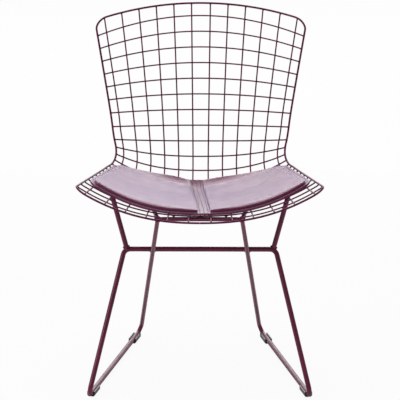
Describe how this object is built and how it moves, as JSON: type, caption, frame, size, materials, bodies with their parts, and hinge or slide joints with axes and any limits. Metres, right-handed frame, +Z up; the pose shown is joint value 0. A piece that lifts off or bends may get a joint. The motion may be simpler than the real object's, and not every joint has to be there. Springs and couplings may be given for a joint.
{
  "type": "wire dining chair",
  "caption": "Side chair with a dished shell of welded steel wire on a bent-rod sled base with clip-on glides, and a thin two-part sewn seat pad for sitting at a table",
  "frame": {"origin": "on the floor under the middle of the chair's width and depth", "axes": "+Z up, the sitter faces -Y, +X to the right of the picture's view from the front"},
  "size_m": [0.533, 0.5839, 0.762],
  "materials": {
    "frame_coat": "satin maroon powder coat",
    "pad_cover": "semi-gloss burgundy leatherette, pale lilac where it catches the light at a flat angle",
    "glide_plastic": "black moulded nylon"
  },
  "bodies": {
    "root": {"rim_rod": "frame_coat", "long_wire_left_1": "frame_coat", "long_wire_left_2": "frame_coat", "long_wire_left_3": "frame_coat", "long_wire_left_4": "frame_coat", "long_wire_left_5": "frame_coat", "long_wire_left_6": "frame_coat", "long_wire_right_1": "frame_coat", "long_wire_right_2": "frame_coat", "long_wire_right_3": "frame_coat", "long_wire_right_4": "frame_coat", "long_wire_right_5": "frame_coat", "long_wire_right_6": "frame_coat", "cross_wire_01": "frame_coat", "cross_wire_02": "frame_coat", "cross_wire_03": "frame_coat", "cross_wire_04": "frame_coat", "cross_wire_05": "frame_coat", "cross_wire_06": "frame_coat", "cross_wire_07": "frame_coat", "cross_wire_08": "frame_coat", "cross_wire_09": "frame_coat", "cross_wire_10": "frame_coat", "cross_wire_11": "frame_coat", "cross_wire_12": "frame_coat", "cross_wire_13": "frame_coat", "cross_wire_14": "frame_coat", "cross_wire_15": "frame_coat", "cross_wire_16": "frame_coat", "cross_wire_17": "frame_coat", "cross_wire_18": "frame_coat", "cross_wire_19": "frame_coat", "cross_wire_20": "frame_coat", "cross_wire_21": "frame_coat", "cross_wire_22": "frame_coat", "cross_wire_23": "frame_coat", "front_frame": "frame_coat", "rear_frame": "frame_coat", "strut_left": "frame_coat", "strut_right": "frame_coat", "rail_left": "frame_coat", "rail_right": "frame_coat", "glide_front_left": "glide_plastic", "glide_front_right": "glide_plastic", "glide_rear_left": "glide_plastic", "glide_rear_right": "glide_plastic", "pad_base": "pad_cover", "pad_puff_left": "pad_cover", "pad_puff_right": "pad_cover"}
  },
  "joints": []
}
